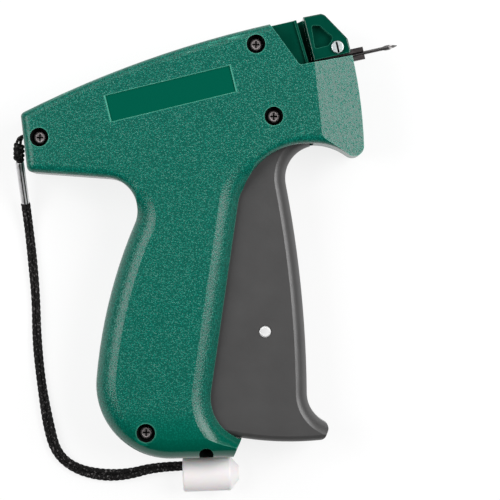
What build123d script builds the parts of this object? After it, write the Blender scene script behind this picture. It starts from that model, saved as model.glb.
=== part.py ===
from build123d import *
import math
import os

# Fabric tagging tool: a pistol housing in two moulded shells, with a slotted needle in its nose.
# A squeeze of the trigger turns a drive lever, which slides a push rod forward through the needle.
# The tool lies on its flat side: needle towards +X, top edge towards +Y, shells stacked along +Z.
# Lengths are millimetres and angles degrees. The origin is under the middle of the tool's box.

# Housing
housing_length = 123.1
housing_height = 160.7
housing_thickness = 30.0
wall = 2.4
side_radius = 3.2
grip_radius = 9.0
grip_edge_angle = 10.0
grip_arch_radius = 12.0
grip_arch_angle = 96.0
grip_web_radius = 5.0
grip_web_angle = 118.0
rear_top_radius = 1.8
rear_low_radius = 2.2
web_radius = 11.6
butt_radius = 26.8
pocket_radius = 15.0
arch_rear_radius = 25.0
arch_front_radius = 20.0
chin_radius = 3.6
cutout_radius = 1.5
facet_depth = 5.5
facet_length = 19.0
window_floor = 5.4
label_length = 46.0
label_width = 9.8
label_depth = 0.5
label_tilt = 13.6
notch_radius = 2.6
notch_depth = 9.0
seat_clearance = 0.1
running_clearance = 0.3
fit_clearance = 0.03
pin_play = 0.05
overrun = 1.0
run_out = 10.0

# Housing screws, with their recesses and bosses
screw_radius = 1.1
screw_head_radius = 2.25
screw_head_height = 1.5
screw_tip = 5.0
screw_cross_length = 2.6
screw_cross_width = 0.6
screw_cross_depth = 0.8
recess_radius = 3.4
recess_depth = 5.7
boss_wall = 1.3
boss_floor = 1.0

# Needle, its base and the lock screw
needle_reach = 12.7
needle_length = 30.8
needle_tilt = 12.5
needle_radius = 0.65
needle_bore_radius = 0.5
needle_slit = 0.4
needle_point = 0.12
spear_radius = 0.9
spear_back = 5.4
spear_shoulder = 4.4
spear_front = 3.2
base_width = 4.5
base_height = 2.8
base_length = 18.4
lock_back = 21.65
lock_side = 3.6
lock_radius = 1.8
lock_flat = 1.2
lock_depth = 10.0
lock_head_radius = 2.3
lock_head_height = 1.2
lock_slot = 0.7
lock_slot_depth = 0.9
lock_edge_radius = 0.4

# Nose and feed
nose_thickness = 16.0
nose_pocket_depth = 3.0
ramp_thickness = 18.0
ramp_lip = 0.8
ramp_slope_width = 9.5
ramp_slope_depth = 3.5
nose_edge_radius = 0.5
nose_top_radius = 1.6
nose_pocket_radius = 0.8
filament_slot = 1.7
blade_length = 4.0
blade_height = 5.0
blade_thickness = 0.8
blade_gap = 0.5
wheel_radius = 6.5
wheel_root_radius = 5.0
wheel_thickness = 4.0
wheel_teeth = 10
axle_radius = 1.25

# Trigger
trigger_thickness = 16.0
trigger_wall = 2.4
trigger_web = 3.2
trigger_edge_radius = 6.7
foot_edge_radius = 3.4
trigger_edge_angle = 20.0
trigger_hub_radius = 3.4
trigger_swing_angle = 17.0
toe_radius = 2.5
toe_depth = 5.6
toe_tilt = 23.3
finger_radius = 12.0
pivot_radius = 1.5
link_radius = 2.25
link_edge_radius = 0.7
rib_thickness = 2.4

# Drive lever, bracket and slide
lever_thickness = 4.0
lever_hub_radius = 6.0
lever_rim = 3.0
lever_neck_radius = 1.7
lever_lobe_radius = 2.5
lobe_lift = 1.35
fulcrum_radius = 2.0
fork_thickness = 2.4
fork_gap = 0.5
carriage_length = 18.0
carriage_above = 6.5
carriage_below = 3.0
carriage_thickness = 12.0
guide_thickness = 2.0
rod_radius = 0.3
rod_socket = 6.0
rod_bore_radius = 0.8
rod_back = 36.4

# Return spring
spring_radius = 4.0
spring_wire = 1.2
spring_turns = 8
seat_reach = 2.4
spring_clearance = 0.1

# Lanyard and needle cap
cord_radius = 1.4
loop_cord_radius = 0.7
loop_hole_radius = 1.0
knot_radius = 2.0
knot_end_radius = 1.2
crimp_radius = 1.55
crimp_edge_radius = 0.4
cap_radius = 6.35
cap_length = 17.4
cap_tip_radius = 2.5
cap_taper = 3.1
cap_rim_radius = 0.9
cap_bore_radius = 1.5
cap_bore_depth = 13.6
cord_entry_depth = 1.5
cap_tilt = 2.0

# Places in the outline: shares of the housing's length from its rear and of its height from its butt
OUTLINE_SHARES = {
    "rear_top": (-0.002, 0.774),
    "top_middle": (0.335, 0.886),
    "top_front": (0.726, 0.974),
    "cutout": (0.814, 0.882),
    "nose_front": (0.968, 0.905),
    "front_middle": (0.990, 0.814),
    "chin": (1.003, 0.660),
    "arch_front": (0.906, 0.708),
    "arch_rear": (0.663, 0.708),
    "pocket": (0.547, 0.088),
    "lip": (0.644, 0.045),
    "butt_front": (0.620, 0.0036),
    "butt_rear": (0.218, -0.0044),
    "back_middle": (0.253, 0.348),
    "web": (0.390, 0.623),
    "rear_low": (0.018, 0.644),
}
SCREW_SHARES = {
    "top": (0.686, 0.929),
    "nose": (0.738, 0.768),
    "rear": (0.054, 0.721),
    "butt": (0.365, 0.060),
}
CREASE_SHARES = ((0.858, 0.877), (0.879, 0.727))
LABEL_SHARE = (0.437, 0.818)
NOTCH_SHARE = (0.541, 0.009)
WINDOW_SHARES = (
    (0.855, 0.756), (0.855, 0.644), (0.721, 0.469), (0.721, -0.024),
    (0.376, 0.044), (0.376, 0.357), (0.537, 0.548), (0.703, 0.756),
)
NOSE_SHARES = (
    (0.824, 0.992), (0.877, 1.000), (0.888, 0.997), (0.955, 0.944),
    (0.966, 0.911), (0.950, 0.906), (0.953, 0.850), (0.875, 0.837),
)
NOSE_POCKET_SHARES = (
    (0.848, 0.974), (0.873, 0.973), (0.911, 0.948),
    (0.908, 0.938), (0.897, 0.928), (0.859, 0.921),
)
NOSE_PAD_SHARES = ((0.885, 0.881), (0.943, 0.890), (0.943, 0.852), (0.885, 0.841))
RAMP_SHARES = (
    (0.731, 0.972), (0.804, 0.985), (0.841, 0.887), (0.847, 0.866),
    (0.806, 0.863), (0.779, 0.881), (0.705, 0.959),
)
RAMP_PAD_SHARES = ((0.721, 0.953), (0.744, 0.955), (0.806, 0.879), (0.806, 0.866), (0.779, 0.881))
SLOT_SHARES = ((0.804, 0.985), (0.824, 0.992), (0.875, 0.837), (0.847, 0.866), (0.841, 0.887))
WHEEL_SHARE = (0.808, 0.816)
TOOTH_SHARES = ((0, 0), (0.45, 1), (0.60, 1), (0.70, 0))
TRIGGER_SHARES = {
    "neck_front": (0.811, 0.736),
    "hook_top": (0.846, 0.704),
    "hook": (0.757, 0.680),
    "front_middle": (0.808, 0.456),
    "flare": (0.836, 0.103),
    "toe": (0.905, 0.074),
    "rear_low": (0.522, 0.068),
    "rear_top": (0.601, 0.581),
    "neck_rear": (0.768, 0.725),
}
PIVOT_SHARE = (0.785, 0.742)
LINK_SHARE = (0.713, 0.285)
TRIGGER_RIB_SHARES = ((0.663, 0.172), (0.663, 0.103))
FULCRUM_SHARE = (0.531, 0.462)
BRACKET_SHARES = ((0.3326, 0.492), (0.3266, 0.425), (0.405, 0.425), (0.405, 0.492))
SPRING_SEAT_SHARES = ((0.258, 0.177), (0.258, 0.098))
TIP_HEIGHT_SHARE = 0.932
LOOP_HOLE_SHARE = 0.728
BEND_SHARE = 0.45
ROOM_SHARE = 0.95
NEAR_SHARE = 0.1

# Lanyard, points chosen by eye: knot, crimp and cord as they lie beside the tool
KNOT_POINTS = ((-70.0, 36.4, 14.6), (-69.8, 27.2, 11.0))
CORD_POINTS = (
    (-68.1, 12.2, 5.0), (-67.2, 4.25, 1.82), (-65.7, -9.5, 1.5), (-64.5, -23.4, 1.5),
    (-64.2, -38.2, 1.5), (-62.6, -53.8, 1.5), (-60.0, -69.2, 1.5), (-57.2, -79.6, 1.5),
    (-50.6, -85.4, 1.5), (-40.9, -88.0, 1.5), (-30.7, -87.8, 1.6), (-20.3, -84.9, 2.3),
    (-10.2, -84.4, 4.6),
)
CAP_BASE = (-10.2, -87.4, 6.35)

overall_length = housing_length + needle_reach
middle = housing_thickness / 2
trigger_floor = middle - trigger_thickness / 2
trigger_roof = middle + trigger_thickness / 2
boss_radius = screw_radius + boss_wall
nose_floor = middle - nose_thickness / 2
nose_roof = middle + nose_thickness / 2
ramp_floor = middle - ramp_thickness / 2
ramp_roof = middle + ramp_thickness / 2
lever_floor = middle - lever_thickness / 2
lever_roof = middle + lever_thickness / 2
pin_roof = housing_thickness - wall
fork_roof = lever_roof + fork_gap + fork_thickness
base_front = needle_length - base_length


def at(share):
    """Place in the plan of a pair of shares."""
    return (share[0] * housing_length - overall_length / 2, (share[1] - 0.5) * housing_height)


def places(shares):
    return [at(share) for share in shares]


def outline_face(points):
    return make_face(Polyline(*points, close=True))


def thick_line(ends, reach):
    """Face between an upright line and its copy moved along X."""
    (first, second) = ends
    return outline_face([first, second, (second[0] + reach, second[1]), (first[0] + reach, first[1])])


def prism(face, bottom, top):
    return Pos(0, 0, bottom) * extrude(face, top - bottom)


def post(place, radius, bottom, top):
    return Pos(place[0], place[1], (bottom + top) / 2) * Cylinder(radius, top - bottom)


def turned(place, centre, angle):
    """Place after a squeeze by an angle: squeezing turns clockwise as seen from +Z."""
    moved = Vector(*place) - Vector(*centre)
    moved = moved.rotate(Axis.Z, -angle) + Vector(*centre)
    return (moved.X, moved.Y)


def near(first, second, share=NEAR_SHARE):
    """Place on the line between two others, a share of the way along it."""
    return Vector(*first) * (1 - share) + Vector(*second) * share


def outline_run(face, first, last):
    """Edges of an outline in order, from the one nearest to a place to the one nearest to another."""
    edges = face.face().outer_wire().order_edges()
    begin = edges.index(edges.sort_by_distance(first)[0])
    ring = edges[begin:] + edges[:begin]
    end = ring.index(ring.sort_by_distance(last)[0])
    return ring[:end + 1]


def turned_away(start, run, radius, angle):
    """Arc that leaves a place along a direction and turns to the left by an angle."""
    side = run.rotate(Axis.Z, math.copysign(90, angle))
    turn = math.radians(abs(angle))
    end = start + run * (radius * math.sin(turn)) + side * (radius * (1 - math.cos(turn)))
    return Edge.make_tangent_arc(start, run, end)


def with_run_outs(edges):
    """Path along edges, with a straight run before and after them."""
    first, last = edges[0], edges[-1]
    head = Edge.make_line(first @ 0 - (first % 0) * run_out, first @ 0)
    tail = Edge.make_line(last @ 1, last @ 1 + (last % 1) * run_out)
    return Wire([head, *edges, tail])


def edge_cut(path, radius, edge_angle, inset=0):
    """What rounds the lower edge beside a path: its arc meets both faces at an angle, as a soft crease."""
    centre = radius * math.cos(math.radians(edge_angle))
    side = centre + overrun
    corner = Pos(-overrun, -overrun) * Rectangle(side, side, align=(Align.MIN, Align.MIN))
    section = corner - Pos(centre, centre) * Circle(radius - inset)
    run = path % 0
    plane = Plane(origin=path @ 0, x_dir=run.rotate(Axis.Z, 90), z_dir=run)
    return sweep(plane * section.face(), path=path)


def corner_room(face, vertex):
    """Largest radius that the two sides at a corner have room for."""
    sides = face.edges().sort_by(lambda edge: edge.distance_to(vertex))[:2]
    runs = []
    for side in sides:
        leaves = Vector(vertex) == side @ 0
        runs.append(side % 0 if leaves else -(side % 1))
    half_angle = math.radians(runs[0].get_angle(runs[1]) / 2)
    return ROOM_SHARE * min(side.length for side in sides) * math.tan(half_angle)


def round_corners(face, corners):
    """Rounds corners, each by its own radius or by what its shorter side has room for."""
    for corner, radius in corners:
        vertex = face.vertices().sort_by_distance(corner)[0]
        face = fillet(vertex, min(radius, corner_room(face, vertex)))
    return face


pivot = at(PIVOT_SHARE)
link = at(LINK_SHARE)
fulcrum = at(FULCRUM_SHARE)
wheel_centre = at(WHEEL_SHARE)
screw_places = {name: at(share) for name, share in SCREW_SHARES.items()}
needle_tip = (overall_length / 2, (TIP_HEIGHT_SHARE - 0.5) * housing_height)
needle_direction = Vector(1, 0).rotate(Axis.Z, needle_tilt)
needle_plane = Plane(
    origin=(needle_tip[0], needle_tip[1], middle),
    x_dir=needle_direction,
    z_dir=(0, 0, 1),
)
loop_hole_height = (LOOP_HOLE_SHARE - 0.5) * housing_height
toe_low = Vector(*at(TRIGGER_SHARES["toe"])) + Vector(0, -toe_depth).rotate(Axis.Z, -toe_tilt)
trigger_reach = (toe_low - Vector(*pivot)).length

# Drive lever: the link pin's path, seen from the turning lever, shapes its slot
link_end = turned(link, pivot, trigger_swing_angle)
start_angle = (Vector(*link) - Vector(*fulcrum)).get_signed_angle(Vector(1, 0))
end_angle = (Vector(*link_end) - Vector(*fulcrum)).get_signed_angle(Vector(1, 0))
lever_swing_angle = abs(end_angle - start_angle)
fulcrum_on_axis = needle_plane.to_local_coords(Vector(fulcrum[0], fulcrum[1], middle))
lever_arm = lobe_lift - fulcrum_on_axis.Y
slide_stroke = 2 * lever_arm * math.sin(math.radians(lever_swing_angle / 2))
carriage_back = slide_stroke / 2 - fulcrum_on_axis.X


def along_needle(back, side, rise=0):
    """Location in the needle's frame: distance behind the tip, above the axis, and in Z."""
    return needle_plane.location * Pos(-back, side, rise)


def housing_face():
    """Plan of both shells: straight runs and wide arcs, joined by tangent corner arcs."""
    corner = {name: at(share) for name, share in OUTLINE_SHARES.items()}
    edges = [
        ThreePointArc(corner["rear_top"], corner["top_middle"], corner["top_front"]),
        Line(corner["top_front"], corner["cutout"]),
        Line(corner["cutout"], corner["nose_front"]),
        ThreePointArc(corner["nose_front"], corner["front_middle"], corner["chin"]),
        Line(corner["chin"], corner["arch_front"]),
        Line(corner["arch_front"], corner["arch_rear"]),
        Line(corner["arch_rear"], corner["pocket"]),
        Line(corner["pocket"], corner["lip"]),
        Line(corner["lip"], corner["butt_front"]),
        Line(corner["butt_front"], corner["butt_rear"]),
        ThreePointArc(corner["butt_rear"], corner["back_middle"], corner["web"]),
        Line(corner["web"], corner["rear_low"]),
        Line(corner["rear_low"], corner["rear_top"]),
    ]
    return round_corners(make_face(edges), [
        (corner["rear_top"], rear_top_radius),
        (corner["cutout"], cutout_radius),
        (corner["chin"], chin_radius),
        (corner["arch_front"], arch_front_radius),
        (corner["arch_rear"], arch_rear_radius),
        (corner["pocket"], pocket_radius),
        (corner["butt_rear"], butt_radius),
        (corner["web"], web_radius),
        (corner["rear_low"], rear_low_radius),
    ])


def grip_paths(plan):
    """Runs of the outline that the hand closes on, led away from the body at their upper ends."""
    corner = {name: at(share) for name, share in OUTLINE_SHARES.items()}
    front_middle = near(corner["pocket"], corner["arch_rear"], 0.5)
    front = outline_run(plan, near(corner["lip"], corner["pocket"]), front_middle)
    front.append(turned_away(front[-1] @ 1, front[-1] % 1, grip_arch_radius, -grip_arch_angle))
    back = outline_run(plan, corner["back_middle"], near(corner["butt_front"], corner["butt_rear"]))
    away = turned_away(back[0] @ 0, -(back[0] % 0), grip_web_radius, grip_web_angle)
    lead = Edge.make_tangent_arc(away @ 1, -(away % 1), away @ 0)
    return [with_run_outs(front), with_run_outs([lead, *back])]


def facet_wedge(depth):
    """Wedge in front of the nose crease that narrows the side face towards the front."""
    high, low = [Vector(*place) for place in places(CREASE_SHARES)]
    rise = (high - low).normalized()
    forward = rise.rotate(Axis.Z, -90)
    profile_plane = Plane(origin=low, x_dir=forward, z_dir=-rise)
    profile = [
        (0, depth - overrun),
        (0, depth),
        (facet_length, depth + facet_depth),
        (facet_length, depth - overrun),
    ]
    return extrude(profile_plane * outline_face(profile), housing_height / 2, both=True)


def rounded_blank(face):
    """Solid half of the housing, rounded along its outer edge except at the nose cut-out."""
    blank = prism(face, 0, middle)
    cutout = Polyline(*places(OUTLINE_SHARES[name] for name in ("top_front", "cutout", "nose_front")))
    outer_edges = blank.faces().sort_by(Axis.Z)[0].edges()
    kept = outer_edges.filter_by(lambda edge: cutout.distance_to(edge @ 0.5) > cutout_radius)
    return fillet(kept, side_radius) - facet_wedge(0)


def guide_ribs():
    """Two ribs above and below the carriage, along its whole stroke."""
    length = slide_stroke + carriage_length + 2 * overrun
    back = carriage_back - slide_stroke / 2
    top = middle - lever_thickness / 2 - fork_gap
    above = carriage_above + running_clearance + guide_thickness / 2
    below = carriage_below + running_clearance + guide_thickness / 2
    rib = Box(length, guide_thickness, top - wall)
    rise = (top + wall) / 2 - middle
    return [along_needle(back, above, rise) * rib, along_needle(back, -below, rise) * rib]


def base_channel(clearance):
    """Way of the needle base into the nose, as long as the nose is."""
    length = needle_length + clearance
    channel = Box(length, base_width + 2 * clearance, base_height + 2 * clearance)
    return along_needle(length / 2, 0) * channel


def rod_way():
    """Bore that the push rod runs in, from the carriage to the needle."""
    bore = Rot(0, 90, 0) * Cylinder(rod_bore_radius, carriage_back)
    return along_needle(carriage_back / 2, 0) * bore


def nose_cuts():
    """What the nose block, feed ramp and slot, needle base, push rod and lanyard take out of both shells."""
    nose = offset(outline_face(places(NOSE_SHARES)), seat_clearance, kind=Kind.INTERSECTION)
    ramp = offset(outline_face(places(RAMP_SHARES)), seat_clearance, kind=Kind.INTERSECTION)
    screw = screw_places["rear"]
    hole_length = screw[0] - boss_radius + overall_length / 2 + overrun
    hole_place = Pos(screw[0] - boss_radius - hole_length / 2, loop_hole_height, middle)
    return [
        prism(nose, nose_floor, nose_roof),
        prism(ramp, ramp_floor, ramp_roof),
        prism(offset(outline_face(places(SLOT_SHARES)), seat_clearance, kind=Kind.INTERSECTION),
              ramp_floor, ramp_roof),
        base_channel(seat_clearance),
        rod_way(),
        hole_place * Rot(0, 90, 0) * Cylinder(loop_hole_radius, hole_length),
    ]


def half_shell(face, grip):
    """Half that lies on the table: the other half mirrors it before its own cuts."""
    cavity = prism(offset(face, -wall), wall, middle + overrun) - facet_wedge(wall)
    for path in grip:
        cavity -= edge_cut(path, grip_radius, grip_edge_angle, wall)
    cavity -= prism(outline_face(places(NOSE_PAD_SHARES)), 0, nose_floor)
    cavity -= prism(outline_face(places(RAMP_PAD_SHARES)), 0, ramp_floor)
    shell = rounded_blank(face) - cavity
    swing = Pos(*pivot) * Circle(trigger_reach + running_clearance)
    window = swing.face() & outline_face(places(WINDOW_SHARES))
    shell -= prism(window, window_floor, middle + overrun)
    loop_groove = loop_cord_radius + running_clearance
    groove_radius = boss_radius + seat_clearance + 2 * loop_groove
    shell -= post(screw_places["rear"], groove_radius, middle - loop_groove, middle + overrun)
    for place in screw_places.values():
        shell += post(place, boss_radius, wall / 2, middle)
    shell += post(pivot, pivot_radius + boss_wall, wall / 2, trigger_floor - running_clearance)
    wheel_floor = middle - wheel_thickness / 2
    shell += post(wheel_centre, axle_radius + boss_wall, wall / 2, wheel_floor - running_clearance)
    for rib in guide_ribs():
        shell += rib
    shell += prism(thick_line(places(SPRING_SEAT_SHARES), -seat_reach), wall / 2, middle)
    shell -= post(pivot, pivot_radius + fit_clearance, wall, middle)
    shell -= post(wheel_centre, axle_radius + fit_clearance, wall, middle)
    for blank in nose_cuts():
        shell -= blank
    for path in grip:
        shell -= edge_cut(path, grip_radius, grip_edge_angle)
    return shell


def base_shell(half):
    for place in screw_places.values():
        half -= post(place, screw_radius + fit_clearance, screw_tip, middle)
    return half


def cover_shell(half):
    """Half with the screw recesses, a round notch in the butt edge and the bare label panel."""
    shell = mirror(half, about=Plane.XY.offset(middle))
    recess_floor = housing_thickness - recess_depth
    for place in screw_places.values():
        boss = post(place, recess_radius + boss_wall, recess_floor - boss_floor, pin_roof + wall / 2)
        shell += boss
    for place in screw_places.values():
        shell -= post(place, recess_radius, recess_floor, housing_thickness + overrun)
        shell -= post(place, screw_radius + seat_clearance, middle, housing_thickness)
    notch_floor = housing_thickness - notch_depth
    shell -= post(at(NOTCH_SHARE), notch_radius, notch_floor, housing_thickness + overrun)
    panel = Box(label_length, label_width, 2 * label_depth)
    return shell - Pos(*at(LABEL_SHARE), housing_thickness) * Rot(0, 0, label_tilt) * panel


def housing_screw(place):
    """Pan-head screw with a cross recess."""
    seat = housing_thickness - recess_depth
    top = seat + screw_head_height
    head = post(place, screw_head_radius, seat, top)
    head = fillet(head.edges().sort_by(Axis.Z)[-1], screw_head_height / 2)
    for angle in (0, 90):
        arm = Box(screw_cross_length, screw_cross_width, 2 * screw_cross_depth)
        head -= Pos(place[0], place[1], top) * Rot(0, 0, angle) * arm
    return post(place, screw_radius, screw_tip, seat) + head


def feed_ramp():
    """Wall behind the feed slot: it slopes to a thin lip and closes the slot on the resting side."""
    ramp = prism(outline_face(places(RAMP_SHARES)), ramp_floor, ramp_roof)
    ramp += prism(outline_face(places(SLOT_SHARES)), ramp_floor, nose_floor - seat_clearance)
    top, low = [Vector(*at(share)) for share in (RAMP_SHARES[1], RAMP_SHARES[2])]
    run = (top - low).normalized()
    slope_plane = Plane(origin=(low.X, low.Y, ramp_roof), x_dir=run.rotate(Axis.Z, 90), z_dir=-run)
    slope = outline_face([
        (ramp_lip, overrun),
        (ramp_lip, -ramp_slope_depth),
        (ramp_slope_width, 0),
        (ramp_slope_width, overrun),
    ])
    ramp -= extrude(slope_plane * slope, housing_height / 2, both=True)
    return ramp - rod_way() - base_channel(seat_clearance)


def blade_box():
    """Knife on the front wall of the feed slot, below the needle base."""
    slot_top, slot_low = [Vector(*at(NOSE_SHARES[end]), middle) for end in (0, -1)]
    run = slot_low - slot_top
    above, below = [needle_plane.to_local_coords(place).Y for place in (slot_top, slot_low)]
    on_axis = slot_top + run * (above / (above - below))
    centre = on_axis + run.normalized() * (base_width / 2 + blade_gap + blade_height / 2)
    blade_plane = Plane(origin=centre, x_dir=run, z_dir=(0, 0, 1))
    blade = Box(blade_height, blade_thickness, blade_length)
    return blade_plane.location * Pos(0, blade_thickness / 2, 0) * blade


def nose_block():
    """Nose in front of the feed slot, with soft edges, a pocket and the way of the needle base."""
    corners = places(NOSE_SHARES)
    face = round_corners(outline_face(corners), [(place, nose_top_radius) for place in corners[2:5]])
    block = prism(face, nose_floor, nose_roof)
    block = fillet(block.faces().sort_by(Axis.Z)[-1].edges(), nose_edge_radius)
    corners = places(NOSE_POCKET_SHARES)
    pocket = round_corners(outline_face(corners), [(place, nose_pocket_radius) for place in corners])
    block -= prism(pocket, nose_roof - nose_pocket_depth, nose_roof + overrun)
    block -= base_channel(seat_clearance)
    slit_length = needle_length + needle_reach
    slit = Box(slit_length, filament_slot, nose_thickness)
    block -= along_needle(slit_length / 2, 0, nose_thickness / 2) * slit
    lock_hole = Cylinder(lock_radius + seat_clearance, lock_depth + overrun)
    lock_rise = nose_roof - middle - lock_depth / 2 + overrun / 2
    block -= along_needle(lock_back, lock_side, lock_rise) * lock_hole
    return block - rod_way() - blade_box()


def needle_lock_screw():
    """Slotted head on a shank that is half cut away where the needle base passes."""
    rise = nose_roof - middle
    shank = Pos(0, 0, rise - lock_depth / 2) * Cylinder(lock_radius, lock_depth)
    flat_height = lock_depth - rise + base_height
    flat = Box(2 * lock_radius, lock_radius, flat_height)
    shank -= Pos(0, lock_flat + lock_radius / 2, rise - lock_depth + flat_height / 2) * flat
    head = Pos(0, 0, rise + lock_head_height / 2) * Cylinder(lock_head_radius, lock_head_height)
    head = fillet(head.edges().sort_by(Axis.Z)[-1], lock_edge_radius)
    slot = Box(lock_slot, 2 * lock_head_radius, 2 * lock_slot_depth)
    head -= Pos(0, 0, rise + lock_head_height) * slot
    return along_needle(lock_back, lock_side) * (shank + head)


def needle_base():
    """Folded steel channel, open towards the cover, with a notch for the lock screw."""
    base = along_needle(base_front + base_length / 2, 0) * Box(base_length, base_width, base_height)
    gap = Box(base_length + 2 * overrun, 2 * needle_radius, base_height)
    base -= along_needle(base_front + base_length / 2, 0, base_height / 2 - needle_radius) * gap
    notch = Cylinder(lock_radius + seat_clearance, base_height + 2 * overrun)
    return base - along_needle(lock_back, lock_side) * notch


def needle():
    """Slotted tube in the channel of its base; its spear is bevelled and narrows to a point."""
    length = needle_length
    profile = [
        (-length, 0), (-length, needle_radius), (-spear_back, needle_radius),
        (-spear_shoulder, spear_radius), (0, spear_radius), (0, 0),
    ]
    body = revolve(Plane.XY * outline_face(profile), Axis.X)
    body -= Pos(-length / 2, 0, 0) * Rot(0, 90, 0) * Cylinder(needle_bore_radius, length + 2 * overrun)
    slit = Box(length + 2 * overrun, needle_slit, spear_radius)
    body -= Pos(-length / 2, 0, spear_radius / 2) * slit
    clear = spear_radius + overrun
    bevel = [(-spear_front, clear), (-spear_front, spear_radius), (0, -needle_bore_radius),
             (overrun, -needle_bore_radius), (overrun, clear)]
    body -= extrude(Plane.XZ * outline_face(bevel), clear, both=True)
    for side in (1, -1):
        flank = [(-spear_front, side * clear), (-spear_front, side * spear_radius), (0, side * needle_point),
                 (overrun, side * needle_point), (overrun, side * clear)]
        body -= extrude(outline_face(flank), clear, both=True)
    return needle_plane.location * body


def push_rod():
    back = carriage_back - carriage_length / 2 + rod_socket
    length = back - rod_back
    return along_needle(rod_back + length / 2, 0) * Rot(0, 90, 0) * Cylinder(rod_radius, length)


def slide_carriage():
    """Block on the needle axis with a cross slot for the lever's lobe."""
    height = carriage_above + carriage_below
    block = Pos(0, carriage_above - height / 2, 0) * Box(carriage_length, height, carriage_thickness)
    slot_top = lobe_lift + lever_lobe_radius + running_clearance
    slot_height = slot_top + carriage_below + overrun
    slot = Box(2 * (lever_lobe_radius + running_clearance), slot_height, lever_thickness + 2 * fork_gap)
    block -= Pos(0, slot_top - slot_height / 2, 0) * slot
    socket = Rot(0, 90, 0) * Cylinder(rod_radius + fit_clearance, rod_socket)
    block -= Pos(carriage_length / 2 - rod_socket / 2, 0, 0) * socket
    return along_needle(carriage_back, 0) * block


def arm_face(first, first_radius, second, second_radius):
    """Arm that tapers between two round ends."""
    circles = (Pos(*first) * Circle(first_radius)).edges() + (Pos(*second) * Circle(second_radius)).edges()
    return make_hull(circles)


def drive_lever():
    lobe_angle = math.radians(lever_swing_angle / 2)
    lobe = needle_plane.from_local_coords(Vector(
        fulcrum_on_axis.X - lever_arm * math.sin(lobe_angle),
        fulcrum_on_axis.Y + lever_arm * math.cos(lobe_angle),
    ))
    slot_radius = link_radius + running_clearance
    lower = arm_face(fulcrum, lever_hub_radius, link, slot_radius + lever_rim)
    upper = arm_face(fulcrum, lever_hub_radius, (lobe.X, lobe.Y), lever_neck_radius)
    halfway = turned(turned(link, pivot, trigger_swing_angle / 2), fulcrum, -lever_swing_angle / 2)
    inner_end = turned(link_end, fulcrum, -lever_swing_angle)
    lever = prism(lower, lever_floor, lever_roof) + prism(upper, lever_floor, lever_roof)
    lever += post((lobe.X, lobe.Y), lever_lobe_radius, lever_floor, lever_roof)
    slot = SlotArc(ThreePointArc(link, halfway, inner_end), 2 * slot_radius)
    lever -= prism(slot, lever_floor, lever_roof)
    return lever - post(fulcrum, fulcrum_radius + pin_play, lever_floor, lever_roof)


def lever_bracket(grip):
    """Fork that carries the lever: a root that fills the shells and two cheeks inside the trigger."""
    root = outline_face(places(BRACKET_SHARES))
    cheek = make_hull(root.edges() + (Pos(*fulcrum) * Circle(fulcrum_radius + lever_rim)).edges())
    bracket = prism(root, wall, pin_roof)
    for path in grip:
        corner_wall = edge_cut(path, grip_radius, grip_edge_angle, wall + seat_clearance)
        bracket = bracket - corner_wall - mirror(corner_wall, about=Plane.XY.offset(middle))
    bracket += prism(cheek, lever_roof + fork_gap, fork_roof)
    bracket += prism(cheek, 2 * middle - fork_roof, lever_floor - fork_gap)
    return bracket - post(fulcrum, fulcrum_radius + fit_clearance, wall, pin_roof)


def on_reach(share):
    """Place on the arc that the foot of the trigger follows, in the direction of a pair of shares."""
    run = Vector(*at(share)) - Vector(*pivot)
    place = Vector(*pivot) + run * (trigger_reach / run.length)
    return (place.X, place.Y)


def trigger_channel(corner, foot):
    """Hollow between the trigger's cheeks: open at the rear, one web behind the front and the foot."""
    def inner(place, back, up=0):
        return (place[0] - back * trigger_web, place[1] + up * trigger_web)

    top, low = inner(corner["hook"], 1), inner(corner["flare"], 1, 1)
    return make_face([
        ThreePointArc(top, inner(corner["front_middle"], 1), low),
        Polyline(low, inner(foot, 2, 1), inner(corner["rear_top"], 2), inner(corner["neck_rear"], 2), top),
    ])


def trigger():
    """Channel with a rounded front, a hub at the top and a cross rib for the spring."""
    corner = {name: at(share) for name, share in TRIGGER_SHARES.items()}
    corner["toe_low"] = (toe_low.X, toe_low.Y)
    foot = on_reach(TRIGGER_SHARES["rear_low"])
    foot_middle = turned(corner["toe_low"], pivot, foot_middle_angle(foot, corner["toe_low"]))
    face = make_face([
        Line(corner["neck_front"], corner["hook_top"]),
        Line(corner["hook_top"], corner["hook"]),
        ThreePointArc(corner["hook"], corner["front_middle"], corner["flare"]),
        Line(corner["flare"], corner["toe"]),
        Line(corner["toe"], corner["toe_low"]),
        ThreePointArc(corner["toe_low"], foot_middle, foot),
        Line(foot, corner["rear_top"]),
        Line(corner["rear_top"], corner["neck_rear"]),
        Line(corner["neck_rear"], corner["neck_front"]),
    ])
    face = round_corners(face, [
        (corner["hook"], finger_radius),
        (corner["flare"], finger_radius),
        (corner["toe"], toe_radius),
        (corner["toe_low"], toe_radius),
    ])
    body = prism(face, trigger_floor, trigger_roof)
    front_run = outline_run(face, corner["flare"], near(corner["hook_top"], corner["hook"]))
    foot_run = outline_run(face, foot_middle, foot_middle)
    for edges, radius in ((front_run, trigger_edge_radius), (foot_run, foot_edge_radius)):
        cut = Pos(0, 0, trigger_floor) * edge_cut(with_run_outs(edges), radius, trigger_edge_angle)
        body = body - cut - mirror(cut, about=Plane.XY.offset(middle))
    channel = trigger_channel(corner, foot)
    body -= prism(channel, trigger_floor + trigger_wall, trigger_roof - trigger_wall)
    body += prism(thick_line(places(TRIGGER_RIB_SHARES), rib_thickness), trigger_floor, trigger_roof)
    body += post(pivot, trigger_hub_radius, trigger_floor, trigger_roof)
    body -= post(pivot, pivot_radius + pin_play, trigger_floor, trigger_roof)
    return body - post(link, link_radius + fit_clearance, trigger_floor, trigger_roof)


def foot_middle_angle(foot, toe):
    """Half of the angle that the foot of the trigger spans at its pivot."""
    spread = (Vector(*foot) - Vector(*pivot)).get_angle(Vector(*toe) - Vector(*pivot))
    return spread / 2


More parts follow.
